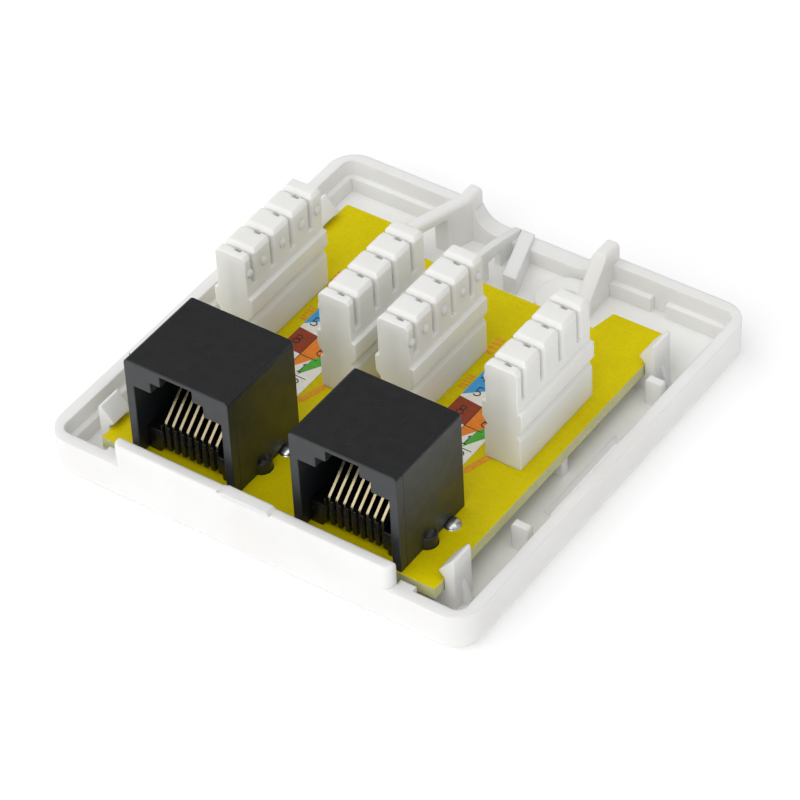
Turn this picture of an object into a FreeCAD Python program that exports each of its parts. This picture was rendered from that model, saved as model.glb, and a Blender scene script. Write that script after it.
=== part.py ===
import FreeCAD, Part
import math
import os

Vector = FreeCAD.Vector

# All sizes are millimetres. X runs to the right along the front edge, Y to the back, Z up.
# The origin is the middle of the underside of the base.

# Base tray
BASE_LENGTH = 58.0
BASE_DEPTH = 60.4
RIM_TOP = 5.7
WALL = 1.45
FLOOR = 1.5
OUTER_CORNER = 3.5
INNER_CORNER = 1.3
UNDERSIDE_ROUND = 1.8
LEDGE_WIDTH = 0.8
LEDGE_TOP = 3.5
LEDGE_GAP_X = 17.35
LEDGE_GAP_WIDTH = 2.0

# Raised part of the front wall
FRONT_WALL_LEFT = -18.8
FRONT_WALL_RIGHT = 19.15
FRONT_WALL_TOP = 8.8
FRONT_WALL_END_ROUND = 1.1
FRONT_WALL_TOP_ROUND = 0.35
CREST_LEFT = -4.1
CREST_RIGHT = 3.2
CREST_RISE = 0.35
CREST_LEFT_RAMP = 0.9
CREST_RIGHT_RAMP = 0.5
END_PAD_LENGTH = 2.1
END_PAD_DEPTH = 0.75

# Cable entry in the back wall
ENTRY_LEFT = -8.85
ENTRY_RIGHT = 8.75
ENTRY_BOTTOM = 3.55
ENTRY_CURVE_WIDTH = 3.4
ENTRY_CURVE_HEIGHT = 2.95
POST_WIDTH = 1.9
POST_TOP = 7.95
POST_ROUND = 0.6
LEFT_RIB_LENGTH = 10.3
LEFT_RIB_DRIFT = 2.6
TIE_WINDOW_FRONT = 20.7
TIE_WINDOW_LENGTH = 3.7
TIE_BAR_HEIGHT = 1.3
RIGHT_RIB_LEVEL = 2.6
RIGHT_RIB_LENGTH = 8.3
DIVIDER_LEFT = -3.25
DIVIDER_WIDTH = 1.85
DIVIDER_TOP = 4.0
DIVIDER_LENGTH = 8.1
DIVIDER_DRIFT = 2.6
TIE_RIB_LEFT = -4.2
TIE_RIB_THICKNESS = 0.95
TIE_RIB_LENGTH = 9.7
TIE_RIB_TOP = 6.2
TIE_RIB_BULGE = 0.25
TIE_RIB_WINDOW_FRONT = 22.9
TIE_RIB_WINDOW_LENGTH = 2.7

# Screw boss on the floor
BOSS_X = 7.0
BOSS_Y = 24.0
BOSS_RADIUS = 3.7
BOSS_TOP = 2.4
SCREW_HOLE_RADIUS = 1.5

# Floor slots and short tabs beside the left and right walls
SLOT_INNER_X = 24.15
SLOT_WIDTH = 2.55
SLOT_FRONT = -7.3
SLOT_LENGTH = 15.2
TAB_INNER_X = 24.2
TAB_WIDTH = 2.2
TAB_THICKNESS = 1.0
TAB_TOP = 5.2
TAB_ROUND = 0.35
TAB_FRONTS = (-13.9, 14.1)

# Circuit board
BOARD_LENGTH = 45.8
BOARD_DEPTH = 48.7
BOARD_THICKNESS = 1.6
BOARD_FRONT_GAP = 1.75
BOARD_CORNER = 0.4
SUPPORT_HEIGHT = 2.3
RECESS_HALF_WIDTH = 14.45
RECESS_DEPTH = 3.4
RECESS_SLANT = 0.7

# Board supports and clips
SUPPORT_OVERLAP = 1.5
SUPPORT_Y = -0.9
SUPPORT_THICKNESS = 1.2
CLIP_GAP = 0.15
CLIP_THICKNESS = 1.35
CLIP_HOOK = 0.75
CLIP_GRIP_RISE = 0.3
CLIP_TOP_ROUND = 0.25
RIGHT_TIP_RISE = 1.2
LEFT_TIP_RISE = 0.85
RIGHT_CLIP_RISE = 3.8
LEFT_CLIP_RISE = 3.2
GUSSET_THICKNESS = 0.7
GUSSET_REACH = 1.2
GUSSET_HEIGHT = 3.4
FRONT_CLIP_Y = -25.3
BACK_CLIP_Y = 15.9
CLIP_LENGTH = 3.3

# Modular jacks
JACK_PITCH = 22.5
JACK_SETBACK = 0.1
JACK_WIDTH = 14.4
JACK_DEPTH = 12.5
JACK_HEIGHT = 14.0
JACK_TOP_ROUND = 0.6
MOUTH_WIDTH = 12.05
MOUTH_TOP = 10.35
MOUTH_DEPTH = 10.9
STEP_WIDTH = 7.3
STEP_TOP = 11.9
STEP_DEPTH = 10.2
LATCH_SLOT_WIDTH = 4.44
LATCH_SLOT_TOP = 13.45
LATCH_SLOT_DEPTH = 8.6
PEG_RADIUS = 1.25
PEG_TIP_RADIUS = 0.8
PEG_INSET = 0.4
PEG_Y = 5.6
PEG_SHOULDER = 1.4
PEG_APEX = 2.9
PEG_BELOW_BOARD = 1.1

# Contact carrier inside each jack
CARRIER_FIT = 0.07
CARRIER_FRONT = 1.5
CARRIER_TOP = 3.3
CARRIER_UNDERSIDE = 0.7
RAIL_WIDTH = 1.6
COMB_DEPTH = 1.7
COMB_TOP = 4.3

# Spring contacts
CONTACT_COUNT = 8
CONTACT_PITCH = 1.016
CONTACT_WIDTH = 0.32
CONTACT_THICKNESS = 0.3
CONTACT_FIT = 0.06
CONTACT_FRONT = 2.05
CONTACT_RUN = 1.25
CONTACT_CREST = 4.4
CONTACT_RISE = 42.0
CONTACT_REACH = 6.4
CONTACT_BEND = 0.35
PIN_ROW_INSET = 3.7
PIN_ROW_STEP = 2.54
PIN_BELOW_BOARD = 0.9
PIN_HOLE_WIDTH = 0.9
PEG_HOLE_FIT = 0.1

# Insulation displacement connector blocks
BLOCK_PITCH = 14.45
BLOCK_SHIFT = -0.2
BLOCK_FRONT = 20.5
BLOCK_LENGTH = 15.0
BLOCK_HEIGHT = 14.35
BODY_HALF_WIDTH = 2.42
GROOVE_HEIGHT = 5.1
GROOVE_DEPTH = 0.45
GROOVE_LOWER_SLOPE = 0.7
GROOVE_UPPER_SLOPE = 1.0
LEDGE_HALF_WIDTH = 2.68
SHOULDER_HEIGHT = 8.4
SHOULDER_SLOPE = 0.1
TOWER_HALF_WIDTH = 2.15
TOWER_CHAMFER = 0.45
TOWER_COUNT = 5
WIRE_SLIT_PITCH = 3.75
WIRE_SLIT_WIDTH = 0.5
WIRE_SLIT_FLOOR = 9.7
WIRE_SLIT_SHIFT = -0.35
LEAD_IN = 0.5
SIDE_LEAD_IN = 0.3
NOTCH_WIDTH = 0.9
NOTCH_LENGTH = 0.9
NOTCH_SHIFT_X = 0.4
NOTCH_SHIFT_Y = -0.15

# Blade contacts inside the blocks
BLADE_THICKNESS = 0.5
BLADE_HALF_WIDTH = 1.05
BLADE_TOP = 12.9
BLADE_SLOT = 0.3
BLADE_SLOT_FLOOR = 9.4
BLADE_FOOT = 0.4
BLADE_FIT = 0.05
BLADE_PIN_WIDTH = 0.6
BLADE_MOUTH = 0.75

# Colour labels
LABEL_HALF_WIDTH = 3.35
LABEL_FRONT = 17.1
LABEL_DEPTH = 17.0
LABEL_THICKNESS = 0.1

# Places that follow from the sizes above
INNER_X = BASE_LENGTH / 2 - WALL
INNER_Y = BASE_DEPTH / 2 - WALL
BOARD_FRONT = BOARD_FRONT_GAP - INNER_Y
BOARD_BACK = BOARD_FRONT + BOARD_DEPTH
BOARD_EDGE = BOARD_LENGTH / 2
BOARD_UNDERSIDE = FLOOR + SUPPORT_HEIGHT
BOARD_TOP = BOARD_UNDERSIDE + BOARD_THICKNESS
JACK_FRONT = BOARD_FRONT + JACK_SETBACK
JACK_CENTRES = {"left": -JACK_PITCH / 2, "right": JACK_PITCH / 2}
BLOCK_CENTRES = [
    jack + BLOCK_SHIFT + side * BLOCK_PITCH / 2
    for jack in JACK_CENTRES.values()
    for side in (-1, 1)
]
PEG_OFFSET = JACK_WIDTH / 2 - PEG_INSET
CHANNEL_WIDTH = CONTACT_WIDTH + 2 * CONTACT_FIT
TOOL_MARGIN = 2.0
TOLERANCE = 0.01
PARALLEL = 0.999


def box(x_low, x_high, y_low, y_high, z_low, z_high):
    corner = Vector(x_low, y_low, z_low)
    return Part.makeBox(x_high - x_low, y_high - y_low, z_high - z_low, corner)


def prism_along_x(profile, start, length):
    corners = [Vector(start, y, z) for y, z in profile]
    face = Part.Face(Part.makePolygon(corners + corners[:1]))
    return face.extrude(Vector(length, 0, 0))


def prism_along_y(profile, start, length):
    corners = [Vector(x, start, z) for x, z in profile]
    face = Part.Face(Part.makePolygon(corners + corners[:1]))
    return face.extrude(Vector(0, length, 0))


def prism_along_z(profile, start, length):
    corners = [Vector(x, y, start) for x, y in profile]
    face = Part.Face(Part.makePolygon(corners + corners[:1]))
    return face.extrude(Vector(0, 0, length))


def edges_along(shape, axis, keep=None):
    """Straight edges that run along an axis, kept by a test on their middle point."""
    found = []
    for edge in shape.Edges:
        if edge.Curve.TypeId != "Part::GeomLine":
            continue
        ends = [vertex.Point for vertex in edge.Vertexes]
        run = (ends[1] - ends[0]).normalize()
        if abs(run.dot(axis)) < PARALLEL:
            continue
        if keep is None or keep(edge.CenterOfMass):
            found.append(edge)
    return found


def mirrored(shape):
    return shape.mirror(Vector(0, 0, 0), Vector(1, 0, 0))


def rounded_block(half_x, half_y, z_low, z_high, radius):
    block = box(-half_x, half_x, -half_y, half_y, z_low, z_high)
    return block.makeFillet(radius, edges_along(block, Vector(0, 0, 1)))


def tray():
    body = rounded_block(BASE_LENGTH / 2, BASE_DEPTH / 2, 0, RIM_TOP, OUTER_CORNER)
    lowest = [edge for edge in body.Edges if edge.BoundBox.ZMax < TOLERANCE]
    body = body.makeFillet(UNDERSIDE_ROUND, lowest)
    above = RIM_TOP + TOOL_MARGIN
    upper = rounded_block(INNER_X, INNER_Y, LEDGE_TOP, above, INNER_CORNER)
    lower_x = INNER_X - LEDGE_WIDTH
    lower_y = INNER_Y - LEDGE_WIDTH
    lower = box(-lower_x, lower_x, -lower_y, lower_y, FLOOR, above)
    gap_left = LEDGE_GAP_X - LEDGE_GAP_WIDTH / 2
    gap_right = LEDGE_GAP_X + LEDGE_GAP_WIDTH / 2
    ledge_gap = box(gap_left, gap_right, 0, INNER_Y, FLOOR, above)
    return body.cut([upper, lower, ledge_gap])


def front_wall_crest():
    """Slightly higher stretch of the front wall between the two jacks."""
    return prism_along_y(
        [
            (CREST_LEFT, FRONT_WALL_TOP),
            (CREST_LEFT + CREST_LEFT_RAMP, FRONT_WALL_TOP + CREST_RISE),
            (CREST_RIGHT - CREST_RIGHT_RAMP, FRONT_WALL_TOP + CREST_RISE),
            (CREST_RIGHT, FRONT_WALL_TOP),
        ],
        -BASE_DEPTH / 2, WALL,
    )


def raised_front_wall():
    """Upright part of the front wall, with a low pad behind each end of it."""
    outer_y = -BASE_DEPTH / 2
    wall = box(FRONT_WALL_LEFT, FRONT_WALL_RIGHT, outer_y, -INNER_Y, FLOOR, FRONT_WALL_TOP)
    ends = edges_along(wall, Vector(0, 0, 1), lambda middle: middle.y < -INNER_Y - WALL / 2)
    wall = wall.makeFillet(FRONT_WALL_END_ROUND, ends)
    top_ends = edges_along(wall, Vector(0, 1, 0), lambda middle: middle.z > RIM_TOP)
    wall = wall.makeFillet(FRONT_WALL_TOP_ROUND, top_ends)
    pad_back = END_PAD_DEPTH - INNER_Y
    right_pad = box(
        FRONT_WALL_RIGHT, FRONT_WALL_RIGHT + END_PAD_LENGTH,
        -INNER_Y, pad_back, FLOOR, RIM_TOP,
    )
    left_pad = box(
        FRONT_WALL_LEFT - END_PAD_LENGTH, FRONT_WALL_LEFT,
        -INNER_Y, pad_back, FLOOR, RIM_TOP,
    )
    return [wall, front_wall_crest(), right_pad, left_pad]


def entry_curve(wall_x, inward):
    """Concave quarter from the foot of a post down to the bottom of the cable entry."""
    top = Vector(wall_x, 0, ENTRY_BOTTOM + ENTRY_CURVE_HEIGHT)
    bottom = Vector(wall_x + inward * ENTRY_CURVE_WIDTH, 0, ENTRY_BOTTOM)
    reach = 1 - math.sqrt(0.5)
    middle = Vector(
        wall_x + inward * ENTRY_CURVE_WIDTH * reach,
        0,
        ENTRY_BOTTOM + ENTRY_CURVE_HEIGHT * reach,
    )
    return Part.Arc(top, middle, bottom).toShape(), top, bottom


def cable_entry_cut():
    left, left_top, left_bottom = entry_curve(ENTRY_LEFT, 1)
    right, right_top, right_bottom = entry_curve(ENTRY_RIGHT, -1)
    high = POST_TOP + TOOL_MARGIN
    corner_left = Vector(ENTRY_LEFT, 0, high)
    corner_right = Vector(ENTRY_RIGHT, 0, high)
    outline = Part.Wire(Part.__sortEdges__([
        left,
        Part.makeLine(left_bottom, right_bottom),
        right,
        Part.makeLine(right_top, corner_right),
        Part.makeLine(corner_right, corner_left),
        Part.makeLine(corner_left, left_top),
    ]))
    opening = Part.Face(outline).extrude(Vector(0, WALL + LEDGE_WIDTH + TOOL_MARGIN, 0))
    opening.translate(Vector(0, INNER_Y - LEDGE_WIDTH, 0))
    return opening


def entry_sill():
    """Thick foot of the back wall that carries the curves of the cable entry."""
    return box(
        ENTRY_LEFT, ENTRY_RIGHT,
        INNER_Y - LEDGE_WIDTH, INNER_Y,
        FLOOR, ENTRY_BOTTOM + ENTRY_CURVE_HEIGHT,
    )


def rounded_top(rib):
    """Round the long upper edges of a rib."""
    upper = [
        edge for edge in rib.Edges
        if edge.BoundBox.ZMin > POST_TOP - TOLERANCE and edge.BoundBox.YLength > POST_WIDTH
    ]
    return rib.makeFillet(POST_ROUND, upper)


def window_through(left, right, front, length, top):
    """Opening for a cable tie, from the floor up, through a rib from side to side."""
    return box(left - TOOL_MARGIN, right + TOOL_MARGIN, front, front + length, FLOOR, top)


def left_rib():
    back = BASE_DEPTH / 2
    sill_front = INNER_Y - LEDGE_WIDTH
    front = back - LEFT_RIB_LENGTH
    left = ENTRY_LEFT - POST_WIDTH
    rib = prism_along_z(
        [
            (left, back),
            (ENTRY_LEFT, back),
            (ENTRY_LEFT, sill_front),
            (ENTRY_LEFT - LEFT_RIB_DRIFT, front),
            (left - LEFT_RIB_DRIFT, front),
            (left, sill_front),
        ],
        FLOOR, POST_TOP - FLOOR,
    )
    window = window_through(
        left - LEFT_RIB_DRIFT, ENTRY_LEFT,
        TIE_WINDOW_FRONT, TIE_WINDOW_LENGTH,
        POST_TOP - TIE_BAR_HEIGHT,
    )
    return rounded_top(rib).cut(window)


def right_rib():
    back = BASE_DEPTH / 2
    level_front = back - RIGHT_RIB_LEVEL
    foot = back - RIGHT_RIB_LENGTH
    rib = prism_along_x(
        [
            (back, FLOOR),
            (back, POST_TOP),
            (level_front, POST_TOP),
            (foot, FLOOR),
        ],
        ENTRY_RIGHT, POST_WIDTH,
    )
    return rounded_top(rib)


def divider():
    """Low rib between the two cable ways, which drifts to the right as it runs inward."""
    back = BASE_DEPTH / 2
    front = back - DIVIDER_LENGTH
    right = DIVIDER_LEFT + DIVIDER_WIDTH
    return prism_along_z(
        [
            (DIVIDER_LEFT, back),
            (right, back),
            (right + DIVIDER_DRIFT, front),
            (DIVIDER_LEFT + DIVIDER_DRIFT, front),
        ],
        FLOOR, DIVIDER_TOP - FLOOR,
    )


def tie_rib():
    """Thin rib that rises inward in a shallow bow from the foot of the cable entry."""
    back = BASE_DEPTH / 2
    front = back - TIE_RIB_LENGTH
    low = Vector(TIE_RIB_LEFT, back, DIVIDER_TOP)
    high = Vector(TIE_RIB_LEFT, front, TIE_RIB_TOP)
    crown = (low + high) / 2 + Vector(0, 0, TIE_RIB_BULGE)
    foot_front = Vector(TIE_RIB_LEFT, front, FLOOR)
    foot_back = Vector(TIE_RIB_LEFT, back, FLOOR)
    outline = Part.Wire([
        Part.Arc(low, crown, high).toShape(),
        Part.makeLine(high, foot_front),
        Part.makeLine(foot_front, foot_back),
        Part.makeLine(foot_back, low),
    ])
    rib = Part.Face(outline).extrude(Vector(TIE_RIB_THICKNESS, 0, 0))
    window = window_through(
        TIE_RIB_LEFT, TIE_RIB_LEFT + TIE_RIB_THICKNESS,
        TIE_RIB_WINDOW_FRONT, TIE_RIB_WINDOW_LENGTH,
        DIVIDER_TOP,
    )
    return rib.cut(window)


def screw_boss():
    return Part.makeCylinder(BOSS_RADIUS, BOSS_TOP - FLOOR, Vector(BOSS_X, BOSS_Y, FLOOR))


def screw_hole():
    return Part.makeCylinder(
        SCREW_HOLE_RADIUS, BOSS_TOP + TOOL_MARGIN, Vector(BOSS_X, BOSS_Y, -TOOL_MARGIN / 2),
    )


def wall_tab(front):
    tab = box(
        TAB_INNER_X, TAB_INNER_X + TAB_WIDTH,
        front, front + TAB_THICKNESS,
        FLOOR, TAB_TOP,
    )
    upper = edges_along(tab, Vector(0, 1, 0), lambda middle: middle.z > TAB_TOP - TOLERANCE)
    return tab.makeFillet(TAB_ROUND, upper)


def floor_slot():
    return box(
        SLOT_INNER_X, SLOT_INNER_X + SLOT_WIDTH,
        SLOT_FRONT, SLOT_FRONT + SLOT_LENGTH,
        -TOOL_MARGIN, FLOOR + TOOL_MARGIN,
    )


def board_clip(front, rise, tip_rise):
    """Springy plate with a hook over the board edge, a shoulder under it and a gusset behind."""
    plate = BOARD_EDGE + CLIP_GAP
    back = plate + CLIP_THICKNESS
    top = BOARD_TOP + rise
    hook = prism_along_y(
        [
            (plate, FLOOR),
            (back, FLOOR),
            (back, top),
            (plate - CLIP_HOOK, BOARD_TOP + tip_rise),
            (plate, BOARD_TOP + CLIP_GRIP_RISE),
        ],
        front, CLIP_LENGTH,
    )
    crest = edges_along(hook, Vector(0, 1, 0), lambda middle: middle.z > top - TOLERANCE)
    hook = hook.makeFillet(CLIP_TOP_ROUND, crest)
    shoulder = box(
        BOARD_EDGE - SUPPORT_OVERLAP, plate,
        front, front + CLIP_LENGTH,
        FLOOR, BOARD_UNDERSIDE,
    )
    gusset = prism_along_y(
        [
            (plate, FLOOR),
            (back + GUSSET_REACH, FLOOR),
            (back, FLOOR + GUSSET_HEIGHT),
            (plate, FLOOR + GUSSET_HEIGHT),
        ],
        front + (CLIP_LENGTH - GUSSET_THICKNESS) / 2, GUSSET_THICKNESS,
    )
    return hook.fuse([shoulder, gusset])


def edge_support():
    return box(
        BOARD_EDGE - SUPPORT_OVERLAP, BOARD_EDGE,
        SUPPORT_Y - SUPPORT_THICKNESS / 2, SUPPORT_Y + SUPPORT_THICKNESS / 2,
        FLOOR, BOARD_UNDERSIDE,
    )


def base():
    right_side = [edge_support()]
    right_side += [wall_tab(front) for front in TAB_FRONTS]
    left_side = [mirrored(piece) for piece in right_side]
    for front in (FRONT_CLIP_Y, BACK_CLIP_Y):
        right_side.append(board_clip(front, RIGHT_CLIP_RISE, RIGHT_TIP_RISE))
        left_side.append(mirrored(board_clip(front, LEFT_CLIP_RISE, LEFT_TIP_RISE)))
    ribs = [left_rib(), right_rib(), divider(), tie_rib(), screw_boss()]
    body = tray().fuse(entry_sill()).cut(cable_entry_cut())
    body = body.fuse(raised_front_wall() + ribs + right_side + left_side)
    slot = floor_slot()
    body = body.cut([slot, mirrored(slot), screw_hole()])
    return body.removeSplitter()


def pin_places(jack_x):
    """Centres of the eight contact pins of one jack, in two staggered rows."""
    places = []
    near_row = MOUTH_DEPTH - PIN_ROW_INSET
    for index in range(CONTACT_COUNT):
        x = jack_x + (index - (CONTACT_COUNT - 1) / 2) * CONTACT_PITCH
        y = JACK_FRONT + near_row + (index % 2) * PIN_ROW_STEP
        places.append((x, y))
    return places


def wire_slit_places():
    """Y of the wire slits of a connector block, from the front."""
    middle = BOARD_FRONT + BLOCK_FRONT + BLOCK_LENGTH / 2 + WIRE_SLIT_SHIFT
    count = TOWER_COUNT - 1
    return [middle + (index - (count - 1) / 2) * WIRE_SLIT_PITCH for index in range(count)]


def pin_hole(x, y):
    half = PIN_HOLE_WIDTH / 2
    low = BOARD_UNDERSIDE - TOOL_MARGIN
    return box(x - half, x + half, y - half, y + half, low, BOARD_TOP + TOOL_MARGIN)


def peg_hole(x, y):
    height = BOARD_THICKNESS + 2 * TOOL_MARGIN
    foot = Vector(x, y, BOARD_UNDERSIDE - TOOL_MARGIN)
    return Part.makeCylinder(PEG_RADIUS + PEG_HOLE_FIT, height, foot)


def circuit_board():
    recess_front = BOARD_BACK - RECESS_DEPTH
    recess_back_x = RECESS_HALF_WIDTH + RECESS_SLANT
    outline = [
        (-BOARD_EDGE, BOARD_FRONT),
        (BOARD_EDGE, BOARD_FRONT),
        (BOARD_EDGE, BOARD_BACK),
        (recess_back_x, BOARD_BACK),
        (RECESS_HALF_WIDTH, recess_front),
        (-RECESS_HALF_WIDTH, recess_front),
        (-recess_back_x, BOARD_BACK),
        (-BOARD_EDGE, BOARD_BACK),
    ]
    board = prism_along_z(outline, BOARD_UNDERSIDE, BOARD_THICKNESS)
    corners = edges_along(
        board, Vector(0, 0, 1),
        lambda middle: middle.y > BOARD_BACK - BOARD_CORNER,
    )
    board = board.makeFillet(BOARD_CORNER, corners)
    holes = []
    for jack_x in JACK_CENTRES.values():
        holes += [pin_hole(x, y) for x, y in pin_places(jack_x)]
        for side in (-1, 1):
            peg_x = jack_x + side * PEG_OFFSET
            holes.append(peg_hole(peg_x, JACK_FRONT + PEG_Y))
    for block_x in BLOCK_CENTRES:
        holes += [pin_hole(block_x, y) for y in wire_slit_places()]
    return board.cut(holes)


def locating_peg(side):
    """Peg that goes through the board, with a cone above the board on the housing wall."""
    foot = Vector(side * PEG_OFFSET, PEG_Y, -BOARD_THICKNESS - PEG_BELOW_BOARD)
    shaft = Part.makeCylinder(PEG_RADIUS, PEG_SHOULDER - foot.z, foot)
    cone = Part.makeCone(
        PEG_TIP_RADIUS, 0, PEG_APEX - PEG_SHOULDER, Vector(foot.x, PEG_Y, PEG_SHOULDER),
    )
    return shaft.fuse(cone)


def jack_mouth():
    """Stepped hollow for the plug, its centre ridge and its latch."""
    start = -TOOL_MARGIN
    plug = box(-MOUTH_WIDTH / 2, MOUTH_WIDTH / 2, start, MOUTH_DEPTH, 0, MOUTH_TOP)
    step = box(-STEP_WIDTH / 2, STEP_WIDTH / 2, start, STEP_DEPTH, 0, STEP_TOP)
    latch = box(
        -LATCH_SLOT_WIDTH / 2, LATCH_SLOT_WIDTH / 2,
        start, LATCH_SLOT_DEPTH,
        0, LATCH_SLOT_TOP,
    )
    return plug.fuse([step, latch]).removeSplitter()


def jack_housing(jack_x):
    shell = box(-JACK_WIDTH / 2, JACK_WIDTH / 2, 0, JACK_DEPTH, 0, JACK_HEIGHT)
    upper = edges_along(shell, Vector(0, 1, 0), lambda middle: middle.z > JACK_HEIGHT / 2)
    shell = shell.makeFillet(JACK_TOP_ROUND, upper)
    shell = shell.fuse([locating_peg(-1), locating_peg(1)])
    shell = shell.cut(jack_mouth()).removeSplitter()
    shell.translate(Vector(jack_x, JACK_FRONT, BOARD_TOP))
    return shell


def contact_channel(x, pin_y):
    """Open groove under the carrier and up its front, one for each contact."""
    left = x - CHANNEL_WIDTH / 2
    right = x + CHANNEL_WIDTH / 2
    run_top = CONTACT_RUN + CONTACT_THICKNESS / 2 + CONTACT_FIT
    back = pin_y + CONTACT_THICKNESS / 2 + CONTACT_FIT
    slot_back = CONTACT_FRONT + CONTACT_THICKNESS / 2 + CONTACT_BEND
    run = box(left, right, 0, back, -TOOL_MARGIN, run_top)
    front_slot = box(left, right, 0, slot_back, -TOOL_MARGIN, COMB_TOP + TOOL_MARGIN)
    return run.fuse(front_slot)


def contact_carrier(jack_x):
    half = MOUTH_WIDTH / 2 - CARRIER_FIT
    back = MOUTH_DEPTH - CARRIER_FIT
    comb_half = (CONTACT_COUNT * CONTACT_PITCH) / 2
    plate = box(-half, half, CARRIER_FRONT, back, CARRIER_UNDERSIDE, CARRIER_TOP)
    comb = box(
        -comb_half, comb_half,
        CARRIER_FRONT, CARRIER_FRONT + COMB_DEPTH,
        CARRIER_UNDERSIDE, COMB_TOP,
    )
    rails = [
        box(-half, -half + RAIL_WIDTH, CARRIER_FRONT, back, 0, CARRIER_TOP),
        box(half - RAIL_WIDTH, half, CARRIER_FRONT, back, 0, CARRIER_TOP),
    ]
    carrier = plate.fuse([comb] + rails).removeSplitter()
    channels = [
        contact_channel(x - jack_x, y - JACK_FRONT)
        for x, y in pin_places(jack_x)
    ]
    carrier = carrier.cut(channels)
    carrier.translate(Vector(jack_x, JACK_FRONT, BOARD_TOP))
    return carrier


def contact_path(pin_y):
    """Corners of the middle line of one spring contact, from its pin to its free end."""
    rise = math.radians(CONTACT_RISE)
    corners = [
        (pin_y, -BOARD_THICKNESS - PIN_BELOW_BOARD),
        (pin_y, CONTACT_RUN),
        (CONTACT_FRONT, CONTACT_RUN),
        (CONTACT_FRONT, CONTACT_CREST),
        (
            CONTACT_FRONT + CONTACT_REACH * math.cos(rise),
            CONTACT_CREST + CONTACT_REACH * math.sin(rise),
        ),
    ]
    return [Vector(0, y, z) for y, z in corners]


def beside(path, distance):
    """The path moved sideways by a distance, with mitred corners."""
    across = Vector(1, 0, 0)
    runs = [(end - start).normalize() for start, end in zip(path, path[1:])]
    sides = [across.cross(run) for run in runs]
    moved = [path[0] + sides[0] * distance]
    for corner, side_before, side_after in zip(path[1:], sides, sides[1:]):
        mitre = (side_before + side_after).normalize()
        moved.append(corner + mitre * (distance / mitre.dot(side_before)))
    moved.append(path[-1] + sides[-1] * distance)
    return moved


def spring_contact(jack_x, x, pin_y):
    """Flat strip bent along the contact path, rounded over its crest."""
    path = contact_path(pin_y - JACK_FRONT)
    half = CONTACT_THICKNESS / 2
    outline = beside(path, half) + beside(path, -half)[::-1]
    strip = Part.Face(Part.makePolygon(outline + outline[:1])).extrude(Vector(CONTACT_WIDTH, 0, 0))
    crest = path[3]
    for radius, outer in ((CONTACT_BEND + half, True), (CONTACT_BEND - half, False)):
        edges = edges_along(
            strip, Vector(1, 0, 0),
            lambda middle: abs(middle.z - crest.z) < CONTACT_BEND and (middle.y < crest.y) == outer,
        )
        strip = strip.makeFillet(radius, edges)
    strip.translate(Vector(x - CONTACT_WIDTH / 2, JACK_FRONT, BOARD_TOP))
    return strip


def block_profile():
    """Cross section of a connector block, as (x, z), from the left foot round to the right."""
    right = [
        (BODY_HALF_WIDTH, 0),
        (BODY_HALF_WIDTH, GROOVE_HEIGHT - GROOVE_LOWER_SLOPE),
        (BODY_HALF_WIDTH - GROOVE_DEPTH, GROOVE_HEIGHT),
        (LEDGE_HALF_WIDTH, GROOVE_HEIGHT + GROOVE_UPPER_SLOPE),
        (LEDGE_HALF_WIDTH, SHOULDER_HEIGHT),
        (TOWER_HALF_WIDTH, SHOULDER_HEIGHT + SHOULDER_SLOPE),
        (TOWER_HALF_WIDTH, BLOCK_HEIGHT - TOWER_CHAMFER),
        (TOWER_HALF_WIDTH - TOWER_CHAMFER, BLOCK_HEIGHT),
    ]
    left = [(-x, z) for x, z in reversed(right)]
    return right + left


def wire_slit(y):
    """Narrow slit across the towers, with a lead-in on the tower behind it."""
    half = WIRE_SLIT_WIDTH / 2
    above = BLOCK_HEIGHT + LEAD_IN
    profile = [
        (y - half, WIRE_SLIT_FLOOR),
        (y + half, WIRE_SLIT_FLOOR),
        (y + half, BLOCK_HEIGHT - LEAD_IN),
        (y + half + 2 * LEAD_IN, above),
        (y - half, above),
    ]
    width = LEDGE_HALF_WIDTH + TOOL_MARGIN
    return prism_along_x(profile, -width, 2 * width)


def side_lead_in(side, y):
    """Small bevel on the tower corners where a wire goes into its slit."""
    half = WIRE_SLIT_WIDTH / 2
    deep = TOWER_HALF_WIDTH - SIDE_LEAD_IN
    wide = TOWER_HALF_WIDTH + SIDE_LEAD_IN
    outline = [
        (side * deep, y - half),
        (side * wide, y - half - 2 * SIDE_LEAD_IN),
        (side * wide, y + half + 2 * SIDE_LEAD_IN),
        (side * deep, y + half),
    ]
    return prism_along_z(outline, WIRE_SLIT_FLOOR, BLOCK_HEIGHT - WIRE_SLIT_FLOOR)


def blade_pocket(y):
    half_x = BLADE_THICKNESS / 2 + BLADE_FIT
    half_y = BLADE_HALF_WIDTH + BLADE_FIT
    top = BLADE_TOP + BLADE_FIT
    return box(-half_x, half_x, y - half_y, y + half_y, -TOOL_MARGIN, top)


def blade_notch(y):
    """Notch over a blade, where the insertion tool reaches down to it."""
    left = NOTCH_SHIFT_X - NOTCH_WIDTH / 2
    front = y + NOTCH_SHIFT_Y - NOTCH_LENGTH / 2
    low = BLADE_TOP + BLADE_FIT
    high = BLOCK_HEIGHT + TOOL_MARGIN
    return box(left, left + NOTCH_WIDTH, front, front + NOTCH_LENGTH, low, high)


def connector_block(block_x):
    front = BOARD_FRONT + BLOCK_FRONT
    block = prism_along_y(block_profile(), front, BLOCK_LENGTH)
    cuts = []
    for y in wire_slit_places():
        cuts += [wire_slit(y), blade_pocket(y), blade_notch(y)]
        cuts += [side_lead_in(-1, y), side_lead_in(1, y)]
    block = block.cut(cuts).removeSplitter()
    block.translate(Vector(block_x, 0, BOARD_TOP))
    return block


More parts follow.
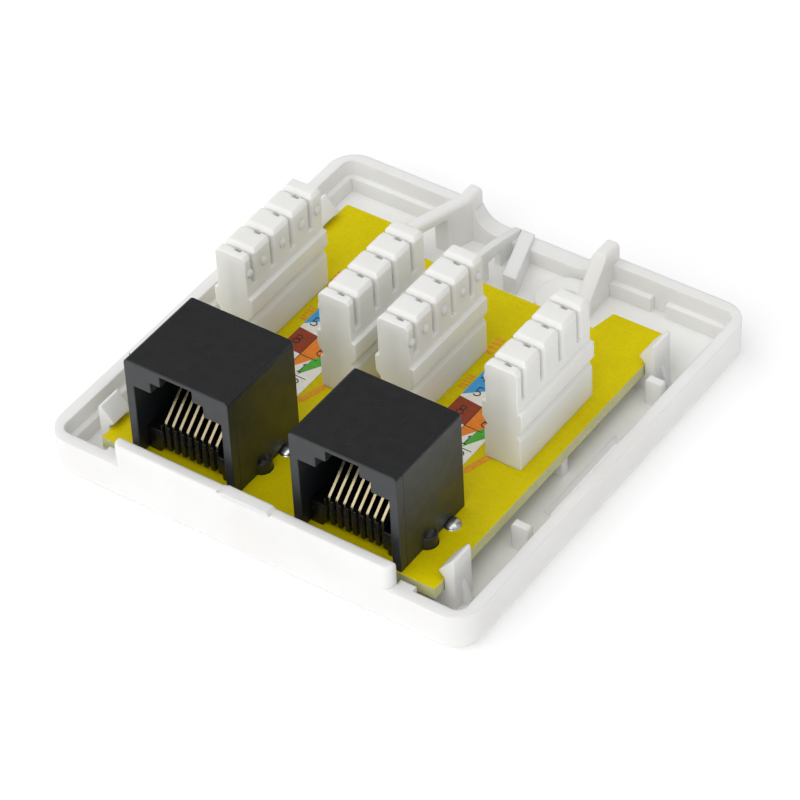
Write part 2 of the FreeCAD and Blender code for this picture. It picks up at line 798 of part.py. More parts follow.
def blade_contact(block_x, y):
    """Upright plate with a slot for the wire and a narrow pin below."""
    half_slot = BLADE_SLOT / 2
    half_pin = BLADE_PIN_WIDTH / 2
    right = [
        (half_pin, -BOARD_THICKNESS - PIN_BELOW_BOARD),
        (half_pin, BLADE_FOOT),
        (BLADE_HALF_WIDTH, BLADE_FOOT),
        (BLADE_HALF_WIDTH, BLADE_TOP),
        (BLADE_MOUTH, BLADE_TOP),
        (half_slot, BLADE_TOP - BLADE_MOUTH),
        (half_slot, BLADE_SLOT_FLOOR),
    ]
    left = [(-offset, z) for offset, z in reversed(right)]
    outline = [(y + offset, z) for offset, z in right + left]
    blade = prism_along_x(outline, block_x - BLADE_THICKNESS / 2, BLADE_THICKNESS)
    blade.translate(Vector(0, 0, BOARD_TOP))
    return blade


def colour_label(jack_x):
    front = BOARD_FRONT + LABEL_FRONT
    return box(
        jack_x - LABEL_HALF_WIDTH, jack_x + LABEL_HALF_WIDTH,
        front, front + LABEL_DEPTH,
        BOARD_TOP, BOARD_TOP + LABEL_THICKNESS,
    )


def all_parts():
    parts = {"base": base(), "circuit_board": circuit_board()}
    for side, jack_x in JACK_CENTRES.items():
        parts[side + "_jack_housing"] = jack_housing(jack_x)
        parts[side + "_jack_carrier"] = contact_carrier(jack_x)
        for number, (x, y) in enumerate(pin_places(jack_x), start=1):
            parts[f"{side}_jack_contact_{number}"] = spring_contact(jack_x, x, y)
        parts[side + "_colour_label"] = colour_label(jack_x)
    for number, block_x in enumerate(BLOCK_CENTRES, start=1):
        parts[f"connector_block_{number}"] = connector_block(block_x)
        for place, y in enumerate(wire_slit_places(), start=1):
            parts[f"block_{number}_blade_{place}"] = blade_contact(block_x, y)
    return parts


os.makedirs("parts", exist_ok=True)
for node, shape in all_parts().items():
    shape.exportStep(f"parts/{node}.step")
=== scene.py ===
import math

import bpy
from mathutils import Matrix, Vector


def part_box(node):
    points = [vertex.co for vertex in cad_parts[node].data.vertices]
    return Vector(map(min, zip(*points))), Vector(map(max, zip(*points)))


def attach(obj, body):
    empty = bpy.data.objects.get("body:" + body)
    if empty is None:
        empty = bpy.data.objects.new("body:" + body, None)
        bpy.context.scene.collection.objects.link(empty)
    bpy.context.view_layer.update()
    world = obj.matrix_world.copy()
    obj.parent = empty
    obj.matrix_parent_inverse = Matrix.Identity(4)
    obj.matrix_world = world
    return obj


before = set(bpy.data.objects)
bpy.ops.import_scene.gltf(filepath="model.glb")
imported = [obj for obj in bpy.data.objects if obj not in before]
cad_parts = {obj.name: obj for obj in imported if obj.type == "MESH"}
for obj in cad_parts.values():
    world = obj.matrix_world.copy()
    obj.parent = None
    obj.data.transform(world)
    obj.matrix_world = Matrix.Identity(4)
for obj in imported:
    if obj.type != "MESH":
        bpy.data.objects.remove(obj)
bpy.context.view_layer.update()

MM = 0.001

# The camera: angles in degrees, lengths in mm
CAMERA_AZIMUTH = 36.59
CAMERA_ELEVATION = 42.378
CAMERA_ROLL = -3.11
CAMERA_DISTANCE = 452.87
CAMERA_TARGET = (4.384, -6.503, 8.367)
CAMERA_LENS = 179.87
CAMERA_SENSOR = 36.0
CAMERA_NEAREST = 10.0

# Studio light: places and sizes in metres, power in watts
FRONT_LIGHT = ((-0.1, -1.1, 1.1), 1.2, 6.6)
RIGHT_LIGHT = ((1.0, -0.3, 1.1), 1.0, 0.8)
LEFT_LIGHT = ((-0.9, -0.1, 1.2), 1.0, 3.4)
TOP_LIGHT = ((0.1, 0.1, 1.3), 1.0, 2.4)
SKY_IN_FRONT = 0.84
SKY_BEHIND = 0.22
FLOOR_HALF = 3.0
FLOOR_GLOW = 0.25

# Light inside the white plastic: share of the light, how far it travels in mm, and the share of
# that distance for red, green and blue
GLOW_WEIGHT = 0.5
GLOW_DEPTH = 1.5
GLOW_REACH = (1.0, 0.95, 0.85)

# Softened edges of the mouldings, in mm. The base's are only shaded, with that many rays
BASE_EDGE = 0.2
BASE_EDGE_SAMPLES = 6
BLOCK_EDGE = 0.15
JACK_EDGE = 0.14
CARRIER_EDGE = 0.1
BOARD_EDGE = 0.05

# Facets are welded within a distance in mm, and joined or rounded by their angle in degrees
WELD_DISTANCE = 0.002
FLAT_ANGLE = 0.6
SHARP_ANGLE = 32

# Places of the colour sockets on a mix node, whose names repeat for each kind of value
MIX_FIRST = 6
MIX_SECOND = 7
MIX_RESULT = 2

# Raised bead on each tower of a connector block, in mm
TOWER_CENTRES = (0.64, 3.4, 7.15, 10.9, 14.0)
TOWER_HALF_WIDTH = 2.15
BEAD_HEIGHT = 11.9
BEAD_HALF_LENGTH = 0.55
BEAD_HALF_HEIGHT = 0.7
BEAD_RISE = 0.36
BEAD_SINK = 0.06

# Colour label: x from the middle of the jack, y from the board's front edge, in mm
INK_THICKNESS = 0.02
LEFT_PRINT_SHIFT = -0.45
LABEL_FIELDS = {
    "blue": [(-3.9, 27.25), (0.2, 30.55), (0.2, 34.6), (-3.9, 34.6)],
    "brown": [(-3.9, 23.6), (-0.1, 23.4), (-0.1, 27.0), (-3.9, 27.35)],
    "orange": [(-0.1, 20.54), (1.63, 23.3), (3.9, 26.9), (3.9, 27.0), (-0.1, 27.0)],
    "green": [(1.58, 20.3), (3.9, 24.1), (3.9, 26.9), (1.63, 23.3)],
}
LABEL_LINES = [
    [(-0.1, 20.54), (-0.1, 27.0)],
    [(-0.1, 23.4), (2.27, 23.4)],
    [(0.95, 20.1), (3.0, 20.1)],
]
LINE_WIDTH = 0.1
DIGIT_WIDTH = 0.85
DIGIT_HEIGHT = 1.5
DIGIT_LINE = 0.15
DIGIT_PLACES = {
    "5": (-1.85, 28.9),
    "8": (-1.85, 25.4),
    "4": (-2.5, 31.4),
    "6": (1.9, 24.95),
    "1": (1.52, 21.55),
    "2": (2.05, 18.9),
}

# Copper under the lacquer: x from the middle of the jack, y from the board's front edge, in mm
COPPER_RISE = 0.03
COMB_TRACKS = [
    {"start": 28.75, "step": 0.52, "count": 5, "left": -4.5, "right": -3.5, "width": 0.3},
    {"start": 35.4, "step": 0.8, "count": 4, "left": -5.3, "right": -4.2, "width": 0.5},
]
LONG_TRACK = [(3.57, 16.6), (4.1, 17.4), (5.0, 20.3), (5.3, 21.6)]
LONG_TRACK_WIDTH = 0.8

# Half the jack's width without its locating pegs, and half a contact's thickness, in mm
JACK_HALF_WIDTH = 7.2
CONTACT_HALF_THICKNESS = 0.15

# Solder, in mm. The fillet's profile is in shares of its radius and of its drop
TAB_RADIUS = 1.1
TAB_RISE = 0.62
TAB_FROM_JACK = 0.45
TAB_BEHIND_FRONT = 9.3
FILLET_RADIUS = 0.75
FILLET_DROP = 0.7
FILLET_PROFILE = [(1.0, 0.0), (0.8, 0.12), (0.6, 0.35), (0.5, 0.75), (0.3, 1.0), (0.0, 1.02)]

# Parting line of the jack moulds, in mm
PARTING_BEHIND_FRONT = 1.2
PARTING_WIDTH = 0.1
PARTING_RISE = 0.02


def srgb(red, green, blue):
    """Linear colour from 0 to 255 screen values."""
    def linear(value):
        value = value / 255
        if value <= 0.04045:
            return value / 12.92
        return ((value + 0.055) / 1.055) ** 2.4
    return (linear(red), linear(green), linear(blue), 1.0)


def corners(node):
    """Lowest and highest corner of a part of the frame, in mm."""
    low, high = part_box(node)
    return [value / MM for value in low], [value / MM for value in high]


def add_camera():
    """The camera of the photograph, turned about its own line of sight by the roll."""
    azimuth = math.radians(CAMERA_AZIMUTH)
    elevation = math.radians(CAMERA_ELEVATION)
    roll = math.radians(CAMERA_ROLL)
    back = Vector((
        math.sin(azimuth) * math.cos(elevation),
        -math.cos(azimuth) * math.cos(elevation),
        math.sin(elevation),
    ))
    level_right = Vector((math.cos(azimuth), math.sin(azimuth), 0))
    level_up = back.cross(level_right)
    right = level_right * math.cos(roll) + level_up * math.sin(roll)
    up = level_up * math.cos(roll) - level_right * math.sin(roll)
    place = (Vector(CAMERA_TARGET) + back * CAMERA_DISTANCE) * MM
    data = bpy.data.cameras.new("camera")
    data.lens = CAMERA_LENS
    data.sensor_width = CAMERA_SENSOR
    data.clip_start = CAMERA_NEAREST * MM
    camera = bpy.data.objects.new("camera", data)
    turn = Matrix((right, up, back)).transposed()
    camera.matrix_world = Matrix.Translation(place) @ turn.to_4x4()
    bpy.context.scene.collection.objects.link(camera)
    bpy.context.scene.camera = camera


def add_light(name, place, size, power):
    """A square lamp aimed at the middle of the floor."""
    data = bpy.data.lights.new(name, "AREA")
    data.energy = power
    data.size = size
    light = bpy.data.objects.new(name, data)
    light.location = place
    light.rotation_euler = (-Vector(place)).to_track_quat("-Z", "Y").to_euler()
    bpy.context.scene.collection.objects.link(light)


def add_sky():
    """White light from all round, stronger from the front than from behind."""
    world = bpy.data.worlds.new("studio")
    world.use_nodes = True
    tree = world.node_tree
    direction = tree.nodes.new("ShaderNodeTexCoord").outputs["Generated"]
    split = tree.nodes.new("ShaderNodeSeparateXYZ")
    tree.links.new(direction, split.inputs["Vector"])
    fade = tree.nodes.new("ShaderNodeMapRange")
    fade.inputs["From Min"].default_value = -1.0
    fade.inputs["From Max"].default_value = 1.0
    fade.inputs["To Min"].default_value = SKY_IN_FRONT
    fade.inputs["To Max"].default_value = SKY_BEHIND
    tree.links.new(split.outputs["Y"], fade.inputs["Value"])
    background = tree.nodes["Background"]
    background.inputs["Color"].default_value = (1, 1, 1, 1)
    tree.links.new(fade.outputs["Result"], background.inputs["Strength"])
    bpy.context.scene.world = world


class Surface:
    """A material whose colour, roughness and relief are built up from noise."""

    def __init__(self, name, roughness, metallic=0.0):
        self.material = bpy.data.materials.new(name)
        self.material.use_nodes = True
        self.tree = self.material.node_tree
        self.shader = self.tree.nodes["Principled BSDF"]
        self.shader.inputs["Roughness"].default_value = roughness
        self.shader.inputs["Metallic"].default_value = metallic
        self.place = self.tree.nodes.new("ShaderNodeTexCoord").outputs["Object"]

    def stretched(self, scale):
        """The place on the object with each axis scaled."""
        mapping = self.tree.nodes.new("ShaderNodeMapping")
        mapping.inputs["Scale"].default_value = scale
        self.tree.links.new(self.place, mapping.inputs["Vector"])
        return mapping.outputs["Vector"]

    def noise(self, size, detail=2.0, place=None):
        """Noise with blotches of that size in mm."""
        node = self.tree.nodes.new("ShaderNodeTexNoise")
        node.inputs["Scale"].default_value = 1 / (size * MM)
        node.inputs["Detail"].default_value = detail
        self.tree.links.new(place or self.place, node.inputs["Vector"])
        return node.outputs["Fac"]

    def spread(self, value, low, high, start=0.0, end=1.0):
        """value between low and high, stretched to run from start to end."""
        node = self.tree.nodes.new("ShaderNodeMapRange")
        node.inputs["From Min"].default_value = low
        node.inputs["From Max"].default_value = high
        node.inputs["To Min"].default_value = start
        node.inputs["To Max"].default_value = end
        self.tree.links.new(value, node.inputs["Value"])
        return node.outputs["Result"]

    def mixed(self, factor, first, second):
        """first where factor is 0 and second where it is 1."""
        node = self.tree.nodes.new("ShaderNodeMix")
        node.data_type = "RGBA"
        self.tree.links.new(factor, node.inputs["Factor"])
        for colour, place in ((first, MIX_FIRST), (second, MIX_SECOND)):
            socket = node.inputs[place]
            if isinstance(colour, tuple):
                socket.default_value = colour
            else:
                self.tree.links.new(colour, socket)
        return node.outputs[MIX_RESULT]

    def facing(self, axis):
        """How far the surface faces along an axis, from -1 to 1."""
        normal = self.tree.nodes.new("ShaderNodeNewGeometry").outputs["Normal"]
        split = self.tree.nodes.new("ShaderNodeSeparateXYZ")
        self.tree.links.new(normal, split.inputs["Vector"])
        return split.outputs[axis]

    def upward(self):
        """1 where the surface faces up, 0 on its sides."""
        return self.spread(self.facing("Z"), 0.6, 0.9)

    def sideways(self):
        """1 where the surface faces left or right, 0 elsewhere."""
        size = self.tree.nodes.new("ShaderNodeMath")
        size.operation = "ABSOLUTE"
        self.tree.links.new(self.facing("X"), size.inputs[0])
        return self.spread(size.outputs["Value"], 0.4, 0.7)

    def colour(self, value):
        self.tree.links.new(value, self.shader.inputs["Base Color"])

    def roughness(self, value):
        self.tree.links.new(value, self.shader.inputs["Roughness"])

    def rounding(self, radius):
        """The normal of the surface with its edges shaded as if rounded by radius in mm."""
        node = self.tree.nodes.new("ShaderNodeBevel")
        node.samples = BASE_EDGE_SAMPLES
        node.inputs["Radius"].default_value = radius * MM
        return node.outputs["Normal"]

    def relief(self, heights, normal=None):
        """Bumps, each from a noise, its strength and its height in mm."""
        for value, strength, height in heights:
            node = self.tree.nodes.new("ShaderNodeBump")
            node.inputs["Strength"].default_value = strength
            node.inputs["Distance"].default_value = height * MM
            self.tree.links.new(value, node.inputs["Height"])
            if normal:
                self.tree.links.new(normal, node.inputs["Normal"])
            normal = node.outputs["Normal"]
        self.tree.links.new(normal, self.shader.inputs["Normal"])


def moulded_plastic(name, light, dark, roughness, grain, height, edge=0.0):
    """Injection moulded plastic: flow mottling, uneven gloss, a fine grain and soft edges."""
    surface = Surface(name, roughness)
    flow = surface.noise(9.0, 3.0)
    grain_noise = surface.noise(grain, 2.0)
    surface.colour(surface.mixed(surface.spread(flow, 0.35, 0.7), light, dark))
    surface.roughness(surface.spread(surface.noise(1.6), 0.3, 0.7, roughness - 0.05, roughness + 0.07))
    rounded = surface.rounding(edge) if edge else None
    surface.relief([(grain_noise, 0.35, height), (surface.noise(4.0), 0.25, height * 2)], rounded)
    return surface


def white_plastic(name, light, dark, roughness, grain, edge=0.0):
    """White moulding, bright in its corners because some light passes through the walls."""
    surface = moulded_plastic(name, light, dark, roughness, grain, 0.006, edge)
    surface.shader.inputs["Specular IOR Level"].default_value = 0.35
    surface.shader.inputs["Subsurface Weight"].default_value = GLOW_WEIGHT
    surface.shader.inputs["Subsurface Radius"].default_value = GLOW_REACH
    surface.shader.inputs["Subsurface Scale"].default_value = GLOW_DEPTH * MM
    return surface.material


def black_jack_plastic():
    """Black moulding, finely eroded, with lighter specks. Its top is painted darker than its grey sides:
    painted shade.
    """
    surface = moulded_plastic("jack_plastic", srgb(34, 39, 42), srgb(27, 32, 35), 0.36, 0.16, 0.012)
    sides = surface.shader.inputs["Base Color"].links[0].from_socket
    # Painted shade: faces that point up get a near-black colour, darker than the sides.
    base = surface.mixed(surface.upward(), sides, srgb(6, 7, 10))
    speckle = surface.spread(surface.noise(0.12, 1.0), 0.62, 0.75)
    surface.colour(surface.mixed(speckle, base, srgb(40, 42, 46)))
    surface.shader.inputs["Specular IOR Level"].default_value = 0.55
    return surface.material


def black_carrier_plastic():
    """Black moulding, smoother and glossier than the jacks."""
    surface = moulded_plastic("carrier_plastic", srgb(16, 16, 18), srgb(10, 10, 12), 0.24, 0.3, 0.008)
    return surface.material


def board_lacquer():
    """Yellow lacquer over glass cloth, with the pale cut laminate at the edges."""
    surface = Surface("board_lacquer", 0.3)
    shade = surface.spread(surface.noise(7.0, 3.0), 0.3, 0.75)
    yellow = surface.mixed(shade, srgb(228, 212, 5), srgb(214, 196, 4))
    weave = surface.spread(surface.noise(0.35, 1.0, surface.stretched((1.0, 2.2, 1.0))), 0.4, 0.75)
    yellow = surface.mixed(surface.spread(weave, 0.0, 1.0, 0.0, 0.25), yellow, srgb(176, 158, 4))
    fibre = surface.spread(surface.noise(0.3, 2.0, surface.stretched((1.0, 1.0, 5.0))), 0.3, 0.7)
    edge = surface.mixed(fibre, srgb(232, 230, 186), srgb(205, 205, 140))
    surface.colour(surface.mixed(surface.upward(), edge, yellow))
    surface.roughness(surface.spread(surface.noise(2.5), 0.3, 0.7, 0.24, 0.4))
    surface.relief([(weave, 0.2, 0.006), (surface.noise(3.0), 0.3, 0.02)])
    surface.shader.inputs["Specular IOR Level"].default_value = 0.1
    return surface.material


def metal(name, light, dark, roughness, streak, shaded_flank=None):
    """Plated metal, finely drawn along one axis. Where a colour is given, faces that point left or right take
    it as painted shade on the flanks.
    """
    surface = Surface(name, roughness, 1.0)
    drawn = surface.noise(0.25, 2.0, surface.stretched(streak))
    plated = surface.mixed(surface.spread(drawn, 0.3, 0.7), light, dark)
    if shaded_flank:
        # Painted shade: faces that point left or right take the darker flank colour.
        plated = surface.mixed(surface.sideways(), plated, shaded_flank)
    surface.colour(plated)
    surface.roughness(surface.spread(drawn, 0.3, 0.7, roughness - 0.06, roughness + 0.1))
    surface.relief([(drawn, 0.3, 0.004)])
    return surface.material


def solder_metal():
    """Bright frozen metal with shallow dimples."""
    surface = Surface("solder", 0.16, 1.0)
    dimples = surface.noise(0.5, 2.0)
    shade = surface.spread(dimples, 0.35, 0.7)
    surface.colour(surface.mixed(shade, srgb(232, 232, 228), srgb(176, 177, 174)))
    surface.roughness(surface.spread(dimples, 0.3, 0.7, 0.12, 0.3))
    surface.relief([(dimples, 0.5, 0.04)])
    return surface.material


def printed(name, light, dark, roughness=0.35):
    """Printed film or ink: slightly uneven coverage and a satin skin."""
    surface = Surface(name, roughness)
    cover = surface.spread(surface.noise(0.5, 3.0), 0.35, 0.75)
    surface.colour(surface.mixed(cover, light, dark))
    surface.roughness(surface.spread(surface.noise(0.9), 0.3, 0.7, roughness - 0.05, roughness + 0.1))
    surface.relief([(surface.noise(0.25), 0.2, 0.003)])
    return surface.material


def floor_paint():
    """White sweep that glows a little, so that it burns out to white around the shadow."""
    surface = Surface("floor_paint", 0.6)
    shade = surface.spread(surface.noise(60.0), 0.3, 0.7)
    surface.colour(surface.mixed(shade, srgb(238, 238, 238), srgb(236, 236, 236)))
    surface.shader.inputs["Emission Color"].default_value = (1, 1, 1, 1)
    surface.shader.inputs["Emission Strength"].default_value = FLOOR_GLOW
    return surface.material


def soften(node, width, segments=2):
    """Joins a part's facets into flat faces and rounds its sharp edges by width in mm."""
    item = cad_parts[node]
    item.data.shade_smooth()
    weld = item.modifiers.new("weld", "WELD")
    weld.merge_threshold = WELD_DISTANCE * MM
    flat = item.modifiers.new("flat", "DECIMATE")
    flat.decimate_type = "DISSOLVE"
    flat.angle_limit = math.radians(FLAT_ANGLE)
    bevel = item.modifiers.new("edges", "BEVEL")
    bevel.width = width * MM
    bevel.segments = segments
    bevel.limit_method = "ANGLE"
    bevel.angle_limit = math.radians(SHARP_ANGLE)
    bevel.use_clamp_overlap = False
    normals = item.modifiers.new("normals", "WEIGHTED_NORMAL")
    normals.keep_sharp = False


def dress(node, material):
    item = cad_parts[node]
    item.data.materials.clear()
    item.data.materials.append(material)


def joined(shapes):
    """One list of vertices and faces from several."""
    vertices = []
    faces = []
    for shape_vertices, shape_faces in shapes:
        start = len(vertices)
        vertices += shape_vertices
        faces += [[start + index for index in face] for face in shape_faces]
    return vertices, faces


def add_piece(name, shape, material, smooth=False):
    """A piece from vertices in mm and faces, fixed to the object."""
    vertices, faces = shape
    mesh = bpy.data.meshes.new(name)
    mesh.from_pydata([[value * MM for value in point] for point in vertices], [], faces)
    mesh.validate()
    mesh.update()
    if smooth:
        mesh.shade_smooth()
    mesh.materials.append(material)
    piece = bpy.data.objects.new(name, mesh)
    bpy.context.scene.collection.objects.link(piece)
    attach(piece, "root")
    return piece


def prism(outline, bottom, top):
    """A plate between two heights with that outline, counter-clockwise."""
    count = len(outline)
    vertices = [(x, y, bottom) for x, y in outline] + [(x, y, top) for x, y in outline]
    faces = [list(reversed(range(count))), list(range(count, 2 * count))]
    for index in range(count):
        after = (index + 1) % count
        faces.append([index, after, count + after, count + index])
    return vertices, faces


def ribbon(path, width, bottom, top, closed=False):
    """A line of that width along a path, with mitred bends."""
    count = len(path)
    rails = []
    for index, (x, y) in enumerate(path):
        before = path[index - 1] if closed or index > 0 else None
        after = path[(index + 1) % count] if closed or index < count - 1 else None
        directions = []
        if before:
            directions.append(Vector((x - before[0], y - before[1])).normalized())
        if after:
            directions.append(Vector((after[0] - x, after[1] - y)).normalized())
        middle = sum(directions, Vector((0, 0))).normalized()
        side = Vector((-middle.y, middle.x))
        reach = width / 2 / max(0.5, middle.dot(directions[0]))
        rails.append((Vector((x, y)) + side * reach, Vector((x, y)) - side * reach))
    vertices = []
    for left, right in rails:
        vertices += [
            (right.x, right.y, bottom), (left.x, left.y, bottom),
            (left.x, left.y, top), (right.x, right.y, top),
        ]
    faces = []
    for index in range(count if closed else count - 1):
        near = 4 * index
        far = 4 * ((index + 1) % count)
        for corner in range(4):
            following = (corner + 1) % 4
            faces.append([near + corner, near + following, far + following, far + corner])
    if not closed:
        faces.append([3, 2, 1, 0])
        last = 4 * (count - 1)
        faces.append([last, last + 1, last + 2, last + 3])
    return vertices, faces


def turned(profile, place, outward, stretch=(1, 1), sides=20):
    """Rings of (radius, distance) about a line from place that points outward along x or z.
    The last ring closes to a point, and the first is closed by a flat face."""
    vertices = []
    for radius, distance in profile[:-1]:
        for index in range(sides):
            angle = 2 * math.pi * index / sides
            first = radius * stretch[0] * math.cos(angle)
            second = radius * stretch[1] * math.sin(angle)
            if outward[0] == "x":
                offset = (outward[1] * distance, first * outward[1], second)
            else:
                offset = (first * outward[1], second, outward[1] * distance)
            vertices.append(tuple(a + b for a, b in zip(place, offset)))
    tip = profile[-1][1]
    offset = (outward[1] * tip, 0, 0) if outward[0] == "x" else (0, 0, outward[1] * tip)
    vertices.append(tuple(a + b for a, b in zip(place, offset)))
    faces = [list(reversed(range(sides)))]
    for ring in range(len(profile) - 2):
        for index in range(sides):
            after = (index + 1) % sides
            low = ring * sides
            faces.append([low + index, low + after, low + sides + after, low + sides + index])
    low = (len(profile) - 2) * sides
    for index in range(sides):
        faces.append([low + index, low + (index + 1) % sides, len(vertices) - 1])
    return vertices, faces


def dome(radius, rise, sink, rings=7):
    """Profile of a rounded cap that starts below the surface by sink."""
    profile = [(radius, -sink)]
    for ring in range(rings):
        angle = math.pi / 2 * ring / (rings - 1)
        profile.append((radius * math.cos(angle), rise * math.sin(angle)))
    return profile


def add_tower_beads(block, side, material):
    """The raised bead on each tower, on one side of a connector block."""
    low, high = corners(block)
    face = (low[0] + high[0]) / 2 + side * TOWER_HALF_WIDTH
    beads = []
    for centre in TOWER_CENTRES:
        place = (face, low[1] + centre, low[2] + BEAD_HEIGHT)
        stretch = (BEAD_HALF_LENGTH / BEAD_HALF_HEIGHT, 1)
        beads.append(turned(dome(BEAD_HALF_HEIGHT, BEAD_RISE, BEAD_SINK), place, ("x", side), stretch))
    add_piece(block + "_beads", joined(beads), material, smooth=True)


def clipped(outline, low, high):
    """The part of an outline between two x values."""
    for limit, keep in ((low, 1), (high, -1)):
        result = []
        for index, point in enumerate(outline):
            before = outline[index - 1]
            inside = keep * (point[0] - limit) >= 0
            was_inside = keep * (before[0] - limit) >= 0
            if inside != was_inside:
                share = (limit - before[0]) / (point[0] - before[0])
                result.append((limit, before[1] + share * (point[1] - before[1])))
            if inside:
                result.append(point)
        outline = result
    return outline


def ellipse(centre, half_width, half_height, start=0.0, turn=360.0, count=16):
    """Points round an ellipse, from start by turn degrees."""
    points = []
    for index in range(count):
        angle = math.radians(start + turn * index / (count if turn == 360.0 else count - 1))
        points.append((centre[0] + half_width * math.cos(angle), centre[1] + half_height * math.sin(angle)))
    return points


def digit_strokes(digit, centre):
    """Strokes of a plain figure, each a path and whether it is closed. Its bows and bars are
    placed by shares of half its width and half its height."""
    x, y = centre
    half = DIGIT_WIDTH / 2
    tall = DIGIT_HEIGHT / 2
    if digit == "8":
        upper = ellipse((x, y + 0.48 * tall), 0.8 * half, 0.47 * tall)
        lower = ellipse((x, y - 0.45 * tall), half, 0.5 * tall)
        return [(upper, True), (lower, True)]
    if digit == "6":
        ring = ellipse((x, y - 0.4 * tall), half, 0.55 * tall)
        tail = ellipse((x + 0.3 * half, y - 0.3 * tall), 1.25 * half, 1.3 * tall, 90, 85, 8)
        return [(ring, True), (tail, False)]
    if digit == "5":
        bowl = ellipse((x - 0.1 * half, y - 0.4 * tall), half, 0.5 * tall, 130, -270, 12)
        flag = [(x + 0.85 * half, y + tall), (x - 0.7 * half, y + tall), bowl[0]]
        return [(flag + bowl[1:], False)]
    if digit == "4":
        return [([(x + half, y - 0.4 * tall), (x - half, y - 0.4 * tall), (x + 0.3 * half, y + tall)], False),
                ([(x + 0.35 * half, y + 0.2 * tall), (x + 0.35 * half, y - tall)], False)]
    if digit == "2":
        bow = ellipse((x, y + 0.5 * tall), half, 0.5 * tall, 150, -190, 10)
        return [(bow + [(x - half, y - tall), (x + half, y - tall)], False)]
    stem = [(x - 0.5 * half, y + 0.6 * tall), (x, y + tall), (x, y - tall)]
    foot = [(x - 0.6 * half, y - tall), (x + 0.8 * half, y - tall)]
    return [(stem, False), (foot, False)]


def add_print(label, jack, inks, shift):
    """The colour fields, fine lines and figures printed on one label."""
    low, high = corners(label)
    jack_low, jack_high = corners(jack)
    board_low, board_high = corners("circuit_board")
    middle = (jack_low[0] + jack_high[0]) / 2 + shift
    front = board_low[1]
    top = high[2] + INK_THICKNESS

    def place(point):
        return (middle + point[0], front + point[1])

    for ink, outline in LABEL_FIELDS.items():
        field = clipped([place(point) for point in outline], low[0], high[0])
        field = [(x, min(y, high[1])) for x, y in field]
        add_piece(f"{label}_{ink}", prism(field, high[2], top), inks[ink])
    strokes = []
    line_top = top + INK_THICKNESS / 2
    for line in LABEL_LINES:
        strokes.append(ribbon([place(point) for point in line], LINE_WIDTH, high[2], line_top))
    for digit, centre in DIGIT_PLACES.items():
        for path, closed in digit_strokes(digit, centre):
            path = [place(point) for point in path]
            path = [(min(max(x, low[0] + DIGIT_LINE), high[0] - DIGIT_LINE), y) for x, y in path]
            strokes.append(ribbon(path, DIGIT_LINE, high[2], line_top, closed))
    add_piece(label + "_lines", joined(strokes), inks["dark"])


def add_copper(jack, material):
    """Tracks that show through the lacquer beside one jack's label."""
    low, high = corners(jack)
    board_low, board_high = corners("circuit_board")
    middle = (low[0] + high[0]) / 2
    front = board_low[1]
    bottom = board_high[2]
    top = bottom + COPPER_RISE
    tracks = []
    for comb in COMB_TRACKS:
        for index in range(comb["count"]):
            y = front + comb["start"] + comb["step"] * index
            ends = [(middle + comb["left"], y), (middle + comb["right"], y)]
            tracks.append(ribbon(ends, comb["width"], bottom, top))
    path = [(middle + x, front + y) for x, y in LONG_TRACK]
    tracks.append(ribbon(path, LONG_TRACK_WIDTH, bottom, top))
    add_piece(jack.replace("housing", "copper"), joined(tracks), material)


def add_tab_solder(jack, material):
    """The low mound of solder that shows beside one jack's right wall."""
    low, high = corners(jack)
    board_top = corners("circuit_board")[1][2]
    wall = (low[0] + high[0]) / 2 + JACK_HALF_WIDTH
    place = (wall + TAB_FROM_JACK, low[1] + TAB_BEHIND_FRONT, board_top)
    vertices, faces = turned(dome(TAB_RADIUS, TAB_RISE, 0.0), place, ("z", 1), sides=28)
    vertices = [(max(x, wall + INK_THICKNESS), y, z) for x, y, z in vertices]
    add_piece(jack.replace("housing", "tab_solder"), (vertices, faces), material, smooth=True)


def add_pin_solder(material):
    """The solder cone round each pin under the board."""
    board_bottom = corners("circuit_board")[0][2]
    profile = [(radius * FILLET_RADIUS, drop * FILLET_DROP) for radius, drop in FILLET_PROFILE]
    cones = []
    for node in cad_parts:
        if "contact" not in node and "blade" not in node:
            continue
        low, high = corners(node)
        x = (low[0] + high[0]) / 2
        y = (low[1] + high[1]) / 2 if "blade" in node else high[1] - CONTACT_HALF_THICKNESS
        cones.append(turned(profile, (x, y, board_bottom), ("z", -1), sides=16))
    add_piece("pin_solder", joined(cones), material, smooth=True)


def add_parting_lines(jack, material):
    """The fine line that the mould halves leave round the front of one jack."""
    low, high = corners(jack)
    board_top = corners("circuit_board")[1][2]
    front = low[1] + PARTING_BEHIND_FRONT
    lines = []
    for side in (-1, 1):
        wall = (low[0] + high[0]) / 2 + side * JACK_HALF_WIDTH
        near = [(wall, front), (wall, front + PARTING_WIDTH)]
        far = [(wall + side * PARTING_RISE, y) for x, y in reversed(near)]
        outline = near + far if side < 0 else list(reversed(near + far))
        lines.append(prism(outline, board_top, high[2] - JACK_EDGE))
    add_piece(jack.replace("housing", "parting_lines"), joined(lines), material)


def add_floor(material):
    """The white ground that the object stands on, which isn't part of it."""
    mesh = bpy.data.meshes.new("floor")
    half = FLOOR_HALF
    mesh.from_pydata(
        [(-half, -half, 0), (half, -half, 0), (half, half, 0), (-half, half, 0)],
        [], [(0, 1, 2, 3)],
    )
    mesh.materials.append(material)
    floor = bpy.data.objects.new("floor", mesh)
    bpy.context.scene.collection.objects.link(floor)


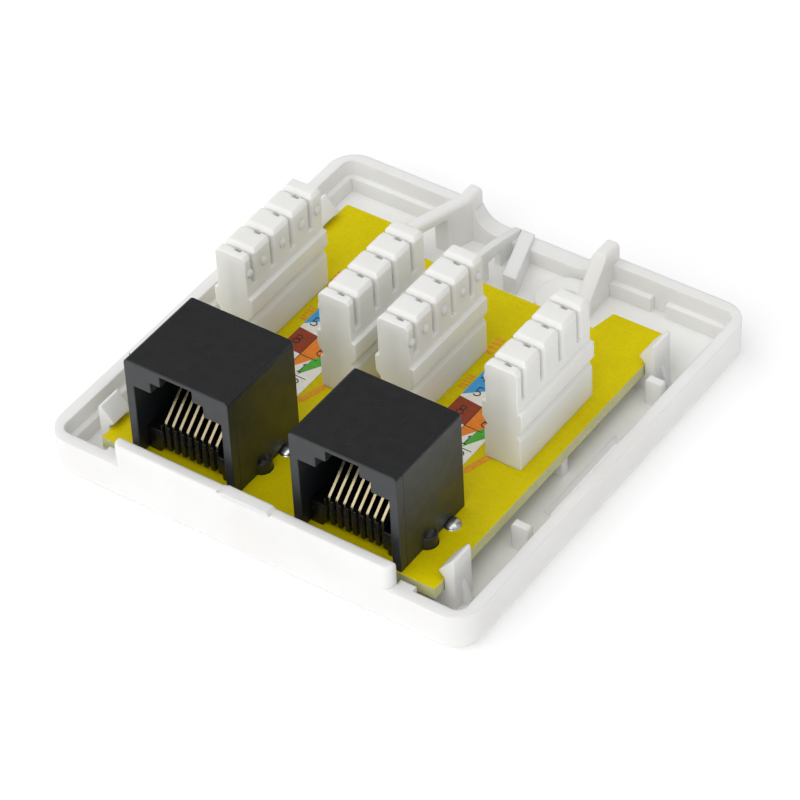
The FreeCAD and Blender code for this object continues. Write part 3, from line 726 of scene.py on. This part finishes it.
base_white = white_plastic("base_plastic", srgb(241, 241, 240), srgb(236, 235, 233), 0.42, 0.22, BASE_EDGE)
block_white = white_plastic("block_plastic", srgb(243, 243, 240), srgb(238, 237, 233), 0.38, 0.18)
jack_black = black_jack_plastic()
carrier_black = black_carrier_plastic()
lacquer = board_lacquer()
# The contacts' last colour, srgb(52, 46, 34), is painted shade on their flanks.
gold = metal(
    "contact_gold", srgb(204, 192, 162), srgb(184, 166, 128), 0.24, (1.0, 0.1, 0.1), srgb(52, 46, 34))
tin = metal("blade_metal", srgb(236, 235, 230), srgb(216, 215, 210), 0.45, (1.0, 1.0, 0.1))
film = printed("label_film", srgb(250, 248, 242), srgb(242, 239, 231), 0.4)
copper = printed("lacquered_copper", srgb(238, 168, 18), srgb(222, 142, 14), 0.28)
solder = solder_metal()
inks = {
    "blue": printed("ink_blue", srgb(66, 170, 240), srgb(58, 156, 228)),
    "brown": printed("ink_brown", srgb(158, 60, 28), srgb(142, 50, 22)),
    "orange": printed("ink_orange", srgb(250, 142, 34), srgb(236, 126, 26)),
    "green": printed("ink_green", srgb(84, 188, 60), srgb(72, 172, 50)),
    "dark": printed("ink_dark", srgb(56, 40, 34), srgb(42, 32, 30)),
}

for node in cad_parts:
    if node == "base":
        dress(node, base_white)
    elif node == "circuit_board":
        dress(node, lacquer)
        soften(node, BOARD_EDGE, 1)
    elif node.startswith("connector_block"):
        dress(node, block_white)
        soften(node, BLOCK_EDGE, 3)
    elif "contact" in node:
        dress(node, gold)
    elif "blade" in node:
        dress(node, tin)
    elif "label" in node:
        dress(node, film)
    elif "carrier" in node:
        dress(node, carrier_black)
        soften(node, CARRIER_EDGE)
    else:
        dress(node, jack_black)
        soften(node, JACK_EDGE)

for block, side in (("connector_block_1", 1), ("connector_block_2", -1),
                    ("connector_block_3", 1), ("connector_block_4", -1)):
    add_tower_beads(block, side, block_white)
for side, shift in (("left", LEFT_PRINT_SHIFT), ("right", 0.0)):
    add_print(f"{side}_colour_label", f"{side}_jack_housing", inks, shift)
    add_copper(f"{side}_jack_housing", copper)
    add_tab_solder(f"{side}_jack_housing", solder)
    add_parting_lines(f"{side}_jack_housing", jack_black)
add_pin_solder(solder)

add_camera()
add_sky()
for name, (place, size, power) in (("front_light", FRONT_LIGHT), ("right_light", RIGHT_LIGHT),
                                   ("left_light", LEFT_LIGHT), ("top_light", TOP_LIGHT)):
    add_light(name, place, size, power)
add_floor(floor_paint())
bpy.context.scene.view_settings.view_transform = "Standard"
